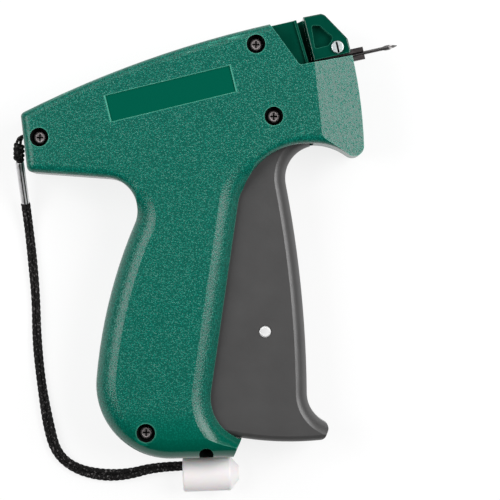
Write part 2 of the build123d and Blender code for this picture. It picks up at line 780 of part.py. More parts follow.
def feed_wheel():
    """Wheel with slanted teeth that draw the strip in."""
    step = 360 / wheel_teeth
    points = []
    for tooth in range(wheel_teeth):
        for turn_share, depth_share in TOOTH_SHARES:
            radius = wheel_root_radius + depth_share * (wheel_radius - wheel_root_radius)
            spoke = Vector(radius, 0).rotate(Axis.Z, step * (tooth + turn_share))
            points.append((wheel_centre[0] + spoke.X, wheel_centre[1] + spoke.Y))
    wheel = prism(outline_face(points), middle - wheel_thickness / 2, middle + wheel_thickness / 2)
    return wheel - post(wheel_centre, axle_radius + pin_play, 0, housing_thickness)


def biarc(start, start_run, end, end_run):
    """Two arcs that leave and arrive along given directions and meet in line."""
    gap = end - start
    both = start_run + end_run
    square = 2 * (start_run.dot(end_run) - 1)
    linear = -2 * gap.dot(both)
    reach = (-linear - math.sqrt(linear**2 - 4 * square * gap.dot(gap))) / (2 * square)
    ahead, behind = start + start_run * reach, end - end_run * reach
    joint = (ahead + behind) * 0.5
    return [Edge.make_tangent_arc(start, start_run, joint), Edge.make_tangent_arc(joint, behind - ahead, end)]


def return_spring():
    """Compression spring along X between the seat in the handle and the rib in the trigger."""
    seat_low, seat_high = places(SPRING_SEAT_SHARES)
    start_x = seat_low[0] + spring_wire / 2 + spring_clearance
    end_x = at(TRIGGER_RIB_SHARES[0])[0] - spring_wire / 2 - spring_clearance
    height = (seat_low[1] + seat_high[1]) / 2
    pitch = (end_x - start_x) / spring_turns
    points, runs = [], []
    for half_turn in range(2 * spring_turns + 1):
        way = Vector(0, spring_radius if half_turn % 2 == 0 else -spring_radius, 0)
        points.append(Vector(start_x + pitch * half_turn / 2, height, middle) + way)
        runs.append(Vector(pitch, 0, 2 * math.pi * way.Y).normalized())
    edges = []
    for half_turn in range(2 * spring_turns):
        edges += biarc(points[half_turn], runs[half_turn], points[half_turn + 1], runs[half_turn + 1])
    print("return spring least gap to itself", round(pitch - spring_wire, 2))
    path = Wire(edges)
    return sweep(Plane(origin=path @ 0, z_dir=path % 0) * Circle(spring_wire / 2), path=path)


def between(first, second, radius):
    """Straight round bar between two points in space."""
    start, end = Vector(*first), Vector(*second)
    run = end - start
    return Plane(origin=(start + end) * 0.5, z_dir=run).location * Cylinder(radius, run.length)


def link_pin():
    pin = post(link, link_radius, trigger_floor, trigger_roof)
    return fillet(pin.edges().filter_by(GeomType.CIRCLE), link_edge_radius)


def lanyard_crimp():
    sleeve = between(KNOT_POINTS[1], CORD_POINTS[0], crimp_radius)
    return fillet(sleeve.edges().filter_by(GeomType.CIRCLE), crimp_edge_radius)


def lanyard_loop():
    """End of the lanyard: a ring round the rear screw boss and a stub out through the rear wall."""
    screw = screw_places["rear"]
    ring_radius = boss_radius + seat_clearance + loop_cord_radius
    ring = Pos(screw[0], screw[1], middle) * Torus(ring_radius, loop_cord_radius)
    stub = between((screw[0] - ring_radius, loop_hole_height, middle),
                   (KNOT_POINTS[0][0], loop_hole_height, middle), loop_cord_radius)
    return ring + stub


def lanyard_knot(loop, crimp):
    start, end = Vector(*KNOT_POINTS[0]), Vector(*KNOT_POINTS[1])
    run = end - start
    plane = Plane(origin=start, x_dir=run, z_dir=run.cross(Vector(0, 0, 1)))
    profile = make_face([
        Line((0, 0), (0, knot_end_radius)),
        ThreePointArc((0, knot_end_radius), (run.length / 2, knot_radius), (run.length, crimp_radius)),
        Line((run.length, crimp_radius), (run.length, 0)),
        Line((run.length, 0), (0, 0)),
    ])
    body = revolve(plane * profile, Axis(start, run))
    return body - loop - crimp


def lanyard_cord():
    points = [Vector(*point) for point in CORD_POINTS]
    radii = []
    for before, here, after in zip(points, points[1:], points[2:]):
        turn = (here - before).get_angle(after - here)
        shorter = min((here - before).length, (after - here).length)
        radii.append(BEND_SHARE * shorter / math.tan(math.radians(turn / 2)))
    print("lanyard bend radii", [round(radius, 1) for radius in radii])
    path = FilletPolyline(*points, radius=radii)
    tube = sweep(Plane(origin=path @ 0, z_dir=path % 0) * Circle(cord_radius), path=path)
    print("lanyard volume share of section by length",
          round(tube.volume / (math.pi * cord_radius**2 * path.length), 3))
    return tube


def needle_cap():
    """White cap with a rounded closed end for the cord and a tapered end bored for the needle."""
    heading = Vector(1, 0).rotate(Axis.Z, cap_tilt)
    plane = Plane(origin=CAP_BASE, x_dir=heading, z_dir=(0, 0, 1))
    end = cap_length + cap_taper
    profile = outline_face([
        (0, 0), (0, cap_radius), (cap_length, cap_radius), (end, cap_tip_radius), (end, 0),
    ])
    rims = ((0, cap_radius), (cap_length, cap_radius))
    profile = round_corners(profile, [(rim, cap_rim_radius) for rim in rims])
    body = revolve(profile, Axis.X)
    body -= Pos(end - cap_bore_depth / 2, 0, 0) * Rot(0, 90, 0) * Cylinder(cap_bore_radius, cap_bore_depth)
    body = plane.location * body
    last, before = Vector(*CORD_POINTS[-1]), Vector(*CORD_POINTS[-2])
    step = (last - before).normalized() * cord_entry_depth
    return body - between(last - step, last + step, cord_radius + seat_clearance)


plan = housing_face()
grip = grip_paths(plan)
half = half_shell(plan, grip)
loop = lanyard_loop()
crimp = lanyard_crimp()
PARTS = {
    "base_shell": base_shell(half),
    "cover_shell": cover_shell(half),
    "feed_ramp": feed_ramp(),
    "nose_block": nose_block(),
    "needle_base": needle_base(),
    "needle": needle(),
    "needle_lock_screw": needle_lock_screw(),
    "cutter_blade": blade_box(),
    "trigger": trigger(),
    "trigger_pivot_pin": post(pivot, pivot_radius, wall, pin_roof),
    "link_pin": link_pin(),
    "lever_bracket": lever_bracket(grip),
    "lever_fulcrum_pin": post(fulcrum, fulcrum_radius, 2 * middle - fork_roof, fork_roof),
    "drive_lever": drive_lever(),
    "slide_carriage": slide_carriage(),
    "push_rod": push_rod(),
    "return_spring": return_spring(),
    "feed_wheel": feed_wheel(),
    "feed_wheel_axle": post(wheel_centre, axle_radius, wall, pin_roof),
    "housing_screws": Compound(children=[housing_screw(place) for place in screw_places.values()]),
    "lanyard_loop": loop,
    "lanyard_knot": lanyard_knot(loop, crimp),
    "lanyard_crimp": crimp,
    "lanyard_cord": lanyard_cord(),
    "needle_cap": needle_cap(),
}
os.makedirs("parts", exist_ok=True)
for name, solid in PARTS.items():
    export_step(solid, f"parts/{name}.step")
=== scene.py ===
# %% [markdown]
# # A fabric tagging tool, dressed for its picture
# The solids of the tool come from its CAD model: two moulded shells, a trigger, a needle and the
# mechanism between them. This lesson adds what solids can't show: moulded grain, brushed steel,
# a braided wrist lanyard and soft studio light. Every object is in metres and sits at the origin.

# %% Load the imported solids
import math

import bpy
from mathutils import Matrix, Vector


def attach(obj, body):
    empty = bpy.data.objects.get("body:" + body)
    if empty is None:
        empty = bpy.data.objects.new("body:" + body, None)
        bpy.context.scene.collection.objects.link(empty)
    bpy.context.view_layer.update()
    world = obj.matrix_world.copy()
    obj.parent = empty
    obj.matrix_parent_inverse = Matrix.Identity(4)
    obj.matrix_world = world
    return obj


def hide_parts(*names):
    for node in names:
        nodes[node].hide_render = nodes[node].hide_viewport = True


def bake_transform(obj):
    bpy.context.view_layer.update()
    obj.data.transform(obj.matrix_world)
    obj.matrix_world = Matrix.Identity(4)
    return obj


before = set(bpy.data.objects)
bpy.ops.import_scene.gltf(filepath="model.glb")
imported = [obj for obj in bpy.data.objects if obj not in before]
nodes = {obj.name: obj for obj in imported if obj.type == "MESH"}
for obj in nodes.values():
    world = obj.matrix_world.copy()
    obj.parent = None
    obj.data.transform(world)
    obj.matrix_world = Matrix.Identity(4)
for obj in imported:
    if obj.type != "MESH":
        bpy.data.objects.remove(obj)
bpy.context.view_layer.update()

MM = 0.001

# %% [markdown]
# ## Camera
# The tool was laid on a white table and photographed from straight above. A long lens keeps the
# edges of the thick housing from leaning outwards, so the camera hangs about a metre up.

# %% Camera over the table
CAMERA_PLACE = (14.4 * MM, -5.0 * MM, 1026 * MM)
SENSOR_WIDTH = 36
LENS = 200

bpy.ops.object.select_all(action="DESELECT")
bpy.ops.object.camera_add(location=CAMERA_PLACE, rotation=(0, 0, 0))
camera = bpy.context.object
camera.name = "camera"
camera.data.sensor_width = SENSOR_WIDTH
camera.data.lens = LENS
bpy.context.scene.camera = camera
print("camera height in mm", round(camera.location.z / MM))

# %% [markdown]
# ## Table and light
# A plane is the table. Seen by the camera and by shiny metal it is almost white, and the rest of
# its shading is plain white paint, which keeps a faint shadow under the tool. Two wide soft boxes
# hang left and right, about 40 degrees from upright, because the picture shows a pale band along
# both sides of the grip and on the slanted front of the nose, while faces that look straight up
# stay deep green. A small weak box beyond the top lights the barrel's upper edge. The sky lights
# the tool from all around, but it is left out of reflections, which would make the green grey.

# %% Table
TABLE_SIDE = 6
TABLE_DROP = 0.3 * MM
TABLE_WHITE = (0.9, 0.9, 0.9, 1)
TABLE_GLOW = 0.82


def background_rays(tree):
    """Factor that is one for rays from the camera, from gloss and through clear things."""
    path = tree.nodes.new("ShaderNodeLightPath")
    total = path.outputs["Is Camera Ray"]
    for name in ("Is Glossy Ray", "Is Transmission Ray"):
        either = tree.nodes.new("ShaderNodeMath")
        either.operation = "MAXIMUM"
        tree.links.new(total, either.inputs[0])
        tree.links.new(path.outputs[name], either.inputs[1])
        total = either.outputs[0]
    return total


bpy.ops.mesh.primitive_plane_add(size=TABLE_SIDE, location=(0, 0, -TABLE_DROP))
table = bpy.context.object
table.name = "table"
paint = bpy.data.materials.new("white_table")
paint.use_nodes = True
tree = paint.node_tree
tree.nodes.clear()
matt = tree.nodes.new("ShaderNodeBsdfDiffuse")
matt.inputs["Color"].default_value = TABLE_WHITE
glow = tree.nodes.new("ShaderNodeEmission")
share = tree.nodes.new("ShaderNodeMath")
share.operation = "MULTIPLY"
share.inputs[1].default_value = TABLE_GLOW
blend = tree.nodes.new("ShaderNodeMixShader")
end = tree.nodes.new("ShaderNodeOutputMaterial")
tree.links.new(background_rays(tree), share.inputs[0])
tree.links.new(share.outputs[0], blend.inputs[0])
tree.links.new(matt.outputs[0], blend.inputs[1])
tree.links.new(glow.outputs[0], blend.inputs[2])
tree.links.new(blend.outputs[0], end.inputs["Surface"])
table.data.materials.append(paint)
print("table at", round(table.location.z / MM, 2), "mm")

# %% Sky
SKY_LIGHT = 0.13
SKY_SEEN = 1.0

world = bpy.data.worlds.new("studio")
world.use_nodes = True
bpy.context.scene.world = world
sky = world.node_tree
sky.nodes["Background"].inputs["Color"].default_value = (1, 1, 1, 1)
lift = sky.nodes.new("ShaderNodeMapRange")
lift.inputs["To Min"].default_value = SKY_LIGHT
lift.inputs["To Max"].default_value = SKY_SEEN
path = sky.nodes.new("ShaderNodeLightPath")
sky.links.new(path.outputs["Is Camera Ray"], lift.inputs["Value"])
sky.links.new(lift.outputs["Result"], sky.nodes["Background"].inputs["Strength"])
world.cycles_visibility.glossy = False
bpy.context.scene.view_settings.view_transform = "Standard"
print("sky strength", SKY_LIGHT)

# %% Soft boxes
# Name, place in metres, watts, width and height
SOFT_BOXES = (
    ("soft_box_right", (0.64, 0.16, 0.77), 8.9, 0.62, 0.6),
    ("soft_box_left", (-0.66, 0.15, 0.78), 6.8, 0.62, 0.6),
    ("soft_box_top", (0.0, 0.47, 0.40), 1.0, 0.7, 0.25),
)

for name, place, watts, width, height in SOFT_BOXES:
    bpy.ops.object.light_add(type="AREA", location=place)
    lamp = bpy.context.object
    lamp.name = name
    lamp.data.shape = "RECTANGLE"
    lamp.data.size = width
    lamp.data.size_y = height
    lamp.data.energy = watts
    lamp.rotation_euler = (-Vector(place)).to_track_quat("-Z", "Y").to_euler()
    lamp.visible_camera = False

# %% [markdown]
# ## Finishes
# Each finish is a small tree of nodes on Object coordinates, so that its grain has a real size.
# The trees could be wired one node at a time, but the same few steps come back in each. So
# helpers start a material, add a node with its plain values, mix colours and find places.

# %% Helpers that start a material and add nodes
NOISE_RANGE = (0.3, 0.7)


def start_finish(name, colour, **values):
    """New material with a plain shader: its colour and any other of its inputs."""
    finish = bpy.data.materials.new(name)
    finish.use_nodes = True
    shader = finish.node_tree.nodes["Principled BSDF"]
    shader.inputs["Base Color"].default_value = (*colour, 1)
    for key, value in values.items():
        shader.inputs[key.replace("_", " ")].default_value = value
    return finish, finish.node_tree, shader


def add(tree, kind, **values):
    """New node with some of its input values."""
    made = tree.nodes.new("ShaderNode" + kind)
    for key, value in values.items():
        made.inputs[key.replace("_", " ")].default_value = value
    return made


def grain(tree, kind, spot, scale, **values):
    """Texture node on a socket of coordinates."""
    made = add(tree, "Tex" + kind, Scale=scale, **values)
    tree.links.new(spot, made.inputs["Vector"])
    return made


def split(tree, spot):
    """Coordinates split into their three axes."""
    made = add(tree, "SeparateXYZ")
    tree.links.new(spot, made.inputs["Vector"])
    return made


def dress(finish, *names):
    """Gives CAD nodes a finish."""
    for name in names:
        for place in nodes[name].material_slots:
            place.material = finish
    print(finish.name, "on", ", ".join(names))


print("most of a noise lies between", *NOISE_RANGE)

# %% Helpers for numbers, colours and relief
# A Mix node has sockets for numbers and vectors before those for colours
MIX_COLOURS = slice(6, 8)
MIX_RESULT = 2


def calc(tree, operation, first, second=0.0):
    """Math on two things, each a socket or a number."""
    made = tree.nodes.new("ShaderNodeMath")
    made.operation = operation
    for slot, value in zip(made.inputs, (first, second)):
        if isinstance(value, (int, float)):
            slot.default_value = value
        else:
            tree.links.new(value, slot)
    return made.outputs[0]


def spread(tree, value, low, high, to_low=0.0, to_high=1.0):
    """Socket stretched from one range to another, and clamped."""
    made = add(tree, "MapRange", From_Min=low, From_Max=high, To_Min=to_low, To_Max=to_high)
    tree.links.new(value, made.inputs["Value"])
    return made.outputs["Result"]


def tint(tree, factor, first, second):
    """Mix of two colours, each a socket or three numbers."""
    made = tree.nodes.new("ShaderNodeMix")
    made.data_type = "RGBA"
    tree.links.new(factor, made.inputs[0])
    for slot, colour in zip(made.inputs[MIX_COLOURS], (first, second)):
        if isinstance(colour, tuple):
            slot.default_value = (*colour, 1)
        else:
            tree.links.new(colour, slot)
    return made.outputs[MIX_RESULT]


def relief(tree, shader, height, strength, depth):
    """Bump from a height, with a depth in metres."""
    bump = add(tree, "Bump", Strength=strength, Distance=depth)
    tree.links.new(height, bump.inputs["Height"])
    tree.links.new(bump.outputs["Normal"], shader.inputs["Normal"])


print("helpers for numbers, colours and relief are ready")

# %% Helpers that find places
# How far the rounded normal agrees with the true one, where the painted edge highlight starts and
# where it is full
EDGE_TURN = (0.985, 0.90)


def near_axis(tree, axes, place, radius):
    """One within a radius of an upright axis, from split coordinates."""
    squares = 0.0
    for axis, middle in zip("XY", place):
        off = calc(tree, "SUBTRACT", axes.outputs[axis], middle)
        squares = calc(tree, "ADD", calc(tree, "MULTIPLY", off, off), squares)
    return calc(tree, "LESS_THAN", squares, radius**2)


def sharp_edge_highlight(tree, radius):
    """One on sharp edges, where a painted highlight goes: there a rounded normal leaves the true
    one.
    """
    soft = add(tree, "Bevel", Radius=radius)
    true = add(tree, "NewGeometry")
    along = tree.nodes.new("ShaderNodeVectorMath")
    along.operation = "DOT_PRODUCT"
    tree.links.new(soft.outputs["Normal"], along.inputs[0])
    tree.links.new(true.outputs["True Normal"], along.inputs[1])
    return spread(tree, along.outputs["Value"], *EDGE_TURN)


# The painted edge highlight starts where normals agree by less than this
print("wear starts where normals agree by less than", EDGE_TURN[0])

# %% [markdown]
# ## Grained green housing
# The steel mould of the housing was spark-eroded, which leaves a fine grain, and its bright specks
# are painted glints. The label panel was left smooth in the mould. Towards the butt the grain
# fades and the green is painted darker, as painted shade. The two shells meet in a thin seam,
# sharp edges and the rims of panel and recesses get painted highlights, and the deep recesses get
# painted shade, almost black. All this could be painted on a picture, but the places are known, so
# plain maths on coordinates finds them.

# %% Places on the housing
LABEL_CENTRE = (-14.1 * MM, 51.1 * MM, 29.5 * MM)
LABEL_HALF = (23.0 * MM, 4.9 * MM, 0.25 * MM)
LABEL_RIM = (0.6 * MM, 0.15 * MM, 2.0 * MM)
LABEL_TILT = math.radians(13.6)
SEAM_HEIGHT = 15 * MM
SEAM_HALF = 0.15 * MM
SCREW_PLACES = tuple((x * MM, y * MM) for x, y in (
    (16.55, 68.94), (22.95, 43.07), (-61.25, 35.51), (-22.97, -70.71)))
RECESS_RADIUS = 3.43 * MM
RECESS_RIM = 3.85 * MM
RECESS_TOP = 29.6 * MM
NOTCH_PLACE = (-1.30 * MM, -78.90 * MM)
NOTCH_RADIUS = 2.63 * MM
NOTCH_FLOOR = 20.9 * MM
# Where the butt's grain fades and its green is painted darker, as painted shade
BUTT_SMOOTH_AND_SHADE = (-62 * MM, -75 * MM)
BUTT_COLLAR = (4.1 * MM, 6.0 * MM)
print("recesses on the housing", len(SCREW_PLACES) + 1)

# %% Label panel, seam, and smoothed butt with painted shade
GREEN = (0.0, 0.085, 0.060)
HOUSING_SPECULAR = 0.38
BUTT_SMOOTH_AND_SHADE_SHARE = 0.85

housing_finish, tree, shader = start_finish(
    "grained_green", GREEN, Specular_IOR_Level=HOUSING_SPECULAR)
spot = add(tree, "TexCoord").outputs["Object"]
turn = add(tree, "Mapping", Location=LABEL_CENTRE, Rotation=(0, 0, LABEL_TILT))
turn.vector_type = "TEXTURE"
tree.links.new(spot, turn.inputs["Vector"])
label_axes = split(tree, turn.outputs["Vector"])
# The panel, and a band round its rim that gets a painted highlight
on_label, label_rim_highlight = 1.0, 1.0
for axis, half, rim in zip("XYZ", LABEL_HALF, LABEL_RIM):
    off = calc(tree, "ABSOLUTE", label_axes.outputs[axis])
    on_label = calc(tree, "MULTIPLY", calc(tree, "LESS_THAN", off, half), on_label)
    fade = spread(tree, off, half + rim, half + 0.5 * rim)
    label_rim_highlight = calc(tree, "MULTIPLY", fade, label_rim_highlight)
off_label = calc(tree, "SUBTRACT", 1.0, on_label)
places = split(tree, spot)
# Towards the butt the grain and bump fade, and the green turns darker: painted shade where the
# light falls off
butt_smooth_and_shade = spread(tree, places.outputs["Y"], *BUTT_SMOOTH_AND_SHADE, 0.0, BUTT_SMOOTH_AND_SHADE_SHARE)
rough_share = calc(tree, "MULTIPLY", off_label, calc(tree, "SUBTRACT", 1.0, butt_smooth_and_shade))
off_seam = calc(tree, "ABSOLUTE", calc(tree, "SUBTRACT", places.outputs["Z"], SEAM_HEIGHT))
seam = spread(tree, off_seam, SEAM_HALF, 0.5 * SEAM_HALF)
print("label panel", [round(2 * half / MM, 1) for half in LABEL_HALF[:2]], "mm")

# %% Painted shade in recesses, painted highlights on rims and sharp edges
LABEL_RIM_HIGHLIGHT_SHARE = 0.5
RECESS_RIM_HIGHLIGHT_SHARE = 0.12
EDGE_HIGHLIGHT_RADIUS = 0.3 * MM
EDGE_HIGHLIGHT_SHARE = 0.85

# Rims of the label panel and of the screw recesses get a painted highlight
rim = calc(tree, "MULTIPLY", label_rim_highlight, calc(tree, "MULTIPLY", off_label, LABEL_RIM_HIGHLIGHT_SHARE))
# The butt's notch and the screw recesses are painted almost black: painted shade
recess_shade = calc(tree, "MULTIPLY", near_axis(tree, places, NOTCH_PLACE, NOTCH_RADIUS),
              calc(tree, "GREATER_THAN", places.outputs["Z"], NOTCH_FLOOR))
for place in SCREW_PLACES:
    recess_shade = calc(tree, "MAXIMUM", near_axis(tree, places, place, RECESS_RADIUS), recess_shade)
    ring = calc(tree, "MULTIPLY", near_axis(tree, places, place, RECESS_RIM), RECESS_RIM_HIGHLIGHT_SHARE)
    rim = calc(tree, "MAXIMUM", ring, rim)
recess_shade = calc(tree, "MULTIPLY", recess_shade, calc(tree, "LESS_THAN", places.outputs["Z"], RECESS_TOP))

# The collar round the butt's screw gets no painted edge highlight, so it stays as green as what is
# round it
collar_in, collar_out = (
    near_axis(tree, places, SCREW_PLACES[-1], radius) for radius in BUTT_COLLAR)
off_collar = calc(tree, "SUBTRACT", 1.0, calc(tree, "SUBTRACT", collar_out, collar_in))
# Sharp edges get a painted highlight
edge_highlight = calc(tree, "MULTIPLY", sharp_edge_highlight(tree, EDGE_HIGHLIGHT_RADIUS),
            calc(tree, "MULTIPLY", off_collar, EDGE_HIGHLIGHT_SHARE))
print("rims, recesses and edges on", len(tree.nodes), "nodes")

# %% Grain of the housing
GRAIN_SCALE = 1850
GRAIN_RANGE = (0.55, 0.08)
CLOUD_SCALE = 500
CLOUD_RANGE = (0.35, 0.65)
CLOUD_LOW = 0.7
FINE_SCALE = 2200
PEAK_HEIGHT = 0.7
GRAIN_RELIEF = (0.9, 0.082 * MM)

cells = grain(tree, "Voronoi", spot, GRAIN_SCALE).outputs["Distance"]
peak = spread(tree, cells, *GRAIN_RANGE)
cloud = grain(tree, "Noise", spot, CLOUD_SCALE, Detail=3).outputs["Fac"]
cloud = spread(tree, cloud, *CLOUD_RANGE, CLOUD_LOW)
fine = grain(tree, "Noise", spot, FINE_SCALE, Detail=2).outputs["Fac"]
speck = calc(tree, "MULTIPLY", calc(tree, "MULTIPLY", peak, cloud), rough_share)
height = calc(tree, "ADD", calc(tree, "MULTIPLY", peak, PEAK_HEIGHT), fine)
relief(tree, shader, calc(tree, "MULTIPLY", height, rough_share), *GRAIN_RELIEF)
print("grain about", round(1 / GRAIN_SCALE / MM, 2), "mm across")

# %% Colour and gloss of the housing
GREEN_PEAK = (0.0, 0.190, 0.134)
# Colour of the painted glints on the grain
SPECK_GLINT = (0.02, 0.29, 0.21)
SPECK_GLINT_SHARE = 0.25
SMOOTH_GREEN = (0.0, 0.083, 0.051)
# Colour of the painted highlights on sharp edges and rims
EDGE_HIGHLIGHT_GREEN = (0.10, 0.44, 0.32)
# Near-black painted shade in the deep recesses
RECESS_SHADE = (0.0, 0.004, 0.003)
SEAM_GREEN = (0.0, 0.03, 0.02)
GRAIN_ROUGH = (0.27, 0.20)
SMOOTH_LESS_ROUGH = 0.13
RECESS_ROUGH = 0.9

colour = tint(tree, rough_share, SMOOTH_GREEN, tint(tree, peak, GREEN, GREEN_PEAK))
# Bright specks on the grain are painted glints
colour = tint(tree, calc(tree, "MULTIPLY", speck, SPECK_GLINT_SHARE), colour, SPECK_GLINT)
# Painted highlights on edges and rims, painted shade in the recesses, and the dark seam between
# the shells
for share, paler_or_darker in (
        (edge_highlight, EDGE_HIGHLIGHT_GREEN), (rim, EDGE_HIGHLIGHT_GREEN), (recess_shade, RECESS_SHADE), (seam, SEAM_GREEN)):
    colour = tint(tree, share, colour, paler_or_darker)
tree.links.new(colour, shader.inputs["Base Color"])
smooth_share = calc(tree, "SUBTRACT", 1.0, rough_share)
rough = calc(tree, "SUBTRACT", spread(tree, speck, 0.0, 1.0, *GRAIN_ROUGH),
             calc(tree, "MULTIPLY", smooth_share, SMOOTH_LESS_ROUGH))
rough = calc(tree, "MAXIMUM", rough, calc(tree, "MULTIPLY", recess_shade, RECESS_ROUGH))
tree.links.new(rough, shader.inputs["Roughness"])
dress(housing_finish, "base_shell", "cover_shell")

# %% [markdown]
# ## Smooth dark nose
# The nose block and the feed ramp are a second moulding in the same colour, polished in the mould,
# so they look darker and show soft reflections. A single colour would look like paint on glass,
# so colour and gloss have a little cloud, and sharp edges get a lighter painted highlight.

# %% Nose finish
NOSE_DARK = (0.0, 0.036, 0.022)
NOSE_LIGHT = (0.0, 0.060, 0.037)
NOSE_EDGE_HIGHLIGHT = (0.05, 0.30, 0.20)
NOSE_EDGE_HIGHLIGHT_SHARE = 0.6
NOSE_HIGHLIGHT_RADIUS = 0.35 * MM
NOSE_CLOUD_SCALE = 160
NOSE_FINE_SCALE = 3000
NOSE_ROUGH = (0.11, 0.17)
NOSE_RELIEF = (0.15, 0.03 * MM)

nose_finish, tree, shader = start_finish("smooth_green", NOSE_DARK)
spot = add(tree, "TexCoord").outputs["Object"]
cloud = grain(tree, "Noise", spot, NOSE_CLOUD_SCALE, Detail=4).outputs["Fac"]
fine = grain(tree, "Noise", spot, NOSE_FINE_SCALE, Detail=1).outputs["Fac"]
# Sharp edges of the nose get a painted highlight
edge_highlight = calc(tree, "MULTIPLY", sharp_edge_highlight(tree, NOSE_HIGHLIGHT_RADIUS), NOSE_EDGE_HIGHLIGHT_SHARE)
colour = tint(tree, edge_highlight, tint(tree, cloud, NOSE_DARK, NOSE_LIGHT), NOSE_EDGE_HIGHLIGHT)
tree.links.new(colour, shader.inputs["Base Color"])
tree.links.new(spread(tree, cloud, *NOISE_RANGE, *NOSE_ROUGH), shader.inputs["Roughness"])
relief(tree, shader, fine, *NOSE_RELIEF)
dress(nose_finish, "nose_block", "feed_ramp")

# %% [markdown]
# ## Grey trigger
# The trigger is a stiff grey plastic with a satin skin. It could do with one grey, but a moulded
# piece is never quite even, so the grey is clouded, and a very fine grain breaks up reflections.
# The hidden plastic pieces of the mechanism take this finish too.

# %% Trigger finish
GREY_DARK = (0.048, 0.047, 0.047)
GREY_LIGHT = (0.069, 0.068, 0.068)
GREY_CLOUD_SCALE = 90
GREY_FINE_SCALE = 3500
GREY_ROUGH = (0.28, 0.38)
GREY_RELIEF = (0.3, 0.04 * MM)

trigger_finish, tree, shader = start_finish("satin_grey", GREY_DARK)
spot = add(tree, "TexCoord").outputs["Object"]
cloud = grain(tree, "Noise", spot, GREY_CLOUD_SCALE, Detail=5).outputs["Fac"]
fine = grain(tree, "Noise", spot, GREY_FINE_SCALE, Detail=2).outputs["Fac"]
tree.links.new(tint(tree, cloud, GREY_DARK, GREY_LIGHT), shader.inputs["Base Color"])
tree.links.new(spread(tree, fine, *NOISE_RANGE, *GREY_ROUGH), shader.inputs["Roughness"])
relief(tree, shader, fine, *GREY_RELIEF)
dress(trigger_finish, "trigger", "lever_bracket", "slide_carriage", "feed_wheel")

# %% [markdown]
# ## Steel
# Steel comes in several finishes: pale pins, a bright satin sleeve with a dark seam and a painted
# shadow beside it, screw heads that are a little warm with painted shade in the middle, and the
# dull drawn steel of needle, lever and spring. Drawn steel has fine lines along its length, so its
# noise is stretched along the needle with a Mapping node. Driver slots get painted shade, almost
# black, and they could be painted by hand, but their axes and depths are known.

# %% Places of painted shade and of the seam on steel
# Near-black painted shade for slots and screw middles, and the colour of the sleeve's dark seam
# and its painted shadow
SHADE_AND_SEAM_DARK = (0.012, 0.011, 0.011)
SLEEVE_TOP = Vector((-69.8, 27.2, 11.0)) * MM
SLEEVE_LOW = Vector((-68.1, 12.2, 5.0)) * MM
SLEEVE_SIDE = (SLEEVE_TOP - SLEEVE_LOW).cross(Vector((0, 0, 1))).normalized()
SLEEVE_LINE = SLEEVE_TOP.dot(SLEEVE_SIDE)
# Each dark stripe, first the seam and then its painted shadow: how far beside the sleeve's axis,
# and half its width
SLEEVE_SEAM_AND_SHADOW = ((-0.1 * MM, 0.26 * MM), (0.85 * MM, 0.26 * MM))
SEAM_SOLID = 0.6
# Each slot: its axis, its radius, the height that it lies under, and how strongly its painted
# shade is mixed in
LOCK_SLOT = ((45.984 * MM, 68.251 * MM), 1.95 * MM, 24.0 * MM, 1.0)
CROSS_SLOTS = tuple((place, 1.36 * MM, 25.6 * MM, 1.0) for place in SCREW_PLACES)
# Screw heads get painted shade in the middle
SHADED_MIDDLES = tuple((place, 1.2 * MM, 40 * MM, 0.5) for place in SCREW_PLACES)
print("sleeve", round((SLEEVE_TOP - SLEEVE_LOW).length / MM, 1), "mm long")

# %% One maker for all steel
LINE_SCALE = 2200
TARNISH_SCALE = 350
TARNISH = 0.72
STEEL_RELIEF = (0.12, 0.02 * MM)


def steel(name, colour, rough, stretch, turn_angle=0.0, slots=(), dark_stripes=()):
    """Metal with fine lines along X, turned in the table's plane, painted shade in slots, and dark
    stripes for a seam and its painted shadow.
    """
    finish, tree, shader = start_finish(name, colour, Metallic=1.0)
    spot = add(tree, "TexCoord").outputs["Object"]
    turn = add(tree, "Mapping", Rotation=(0, 0, turn_angle), Scale=(stretch, 1, 1))
    turn.vector_type = "TEXTURE"
    tree.links.new(spot, turn.inputs["Vector"])
    lines = grain(tree, "Noise", turn.outputs["Vector"], LINE_SCALE, Detail=3).outputs["Fac"]
    cloud = grain(tree, "Noise", spot, TARNISH_SCALE, Detail=2).outputs["Fac"]
    shade = tint(tree, cloud, colour, tuple(TARNISH * part for part in colour))
    axes = split(tree, spot)
    for place, radius, top, share in slots:
        # Slots and screw middles get painted shade
        sunk = calc(tree, "LESS_THAN", axes.outputs["Z"], top)
        sunk = calc(tree, "MULTIPLY", sunk, near_axis(tree, axes, place, radius))
        shade = tint(tree, calc(tree, "MULTIPLY", sunk, share), shade, SHADE_AND_SEAM_DARK)
    # The sleeve's seam, and beside it a painted shadow
    for beside, half_width in dark_stripes:
        across = calc(tree, "ADD", calc(tree, "MULTIPLY", axes.outputs["X"], SLEEVE_SIDE[0]),
                      calc(tree, "MULTIPLY", axes.outputs["Y"], SLEEVE_SIDE[1]))
        off = calc(tree, "ABSOLUTE", calc(tree, "SUBTRACT", across, SLEEVE_LINE + beside))
        shade = tint(tree, spread(tree, off, half_width, SEAM_SOLID * half_width), shade, SHADE_AND_SEAM_DARK)
    tree.links.new(shade, shader.inputs["Base Color"])
    tree.links.new(spread(tree, lines, *NOISE_RANGE, *rough), shader.inputs["Roughness"])
    relief(tree, shader, lines, *STEEL_RELIEF)
    return finish


print("lines on steel about", round(1 / LINE_SCALE / MM, 2), "mm apart")

# %% Steel finishes
NEEDLE_TILT = math.radians(12.5)

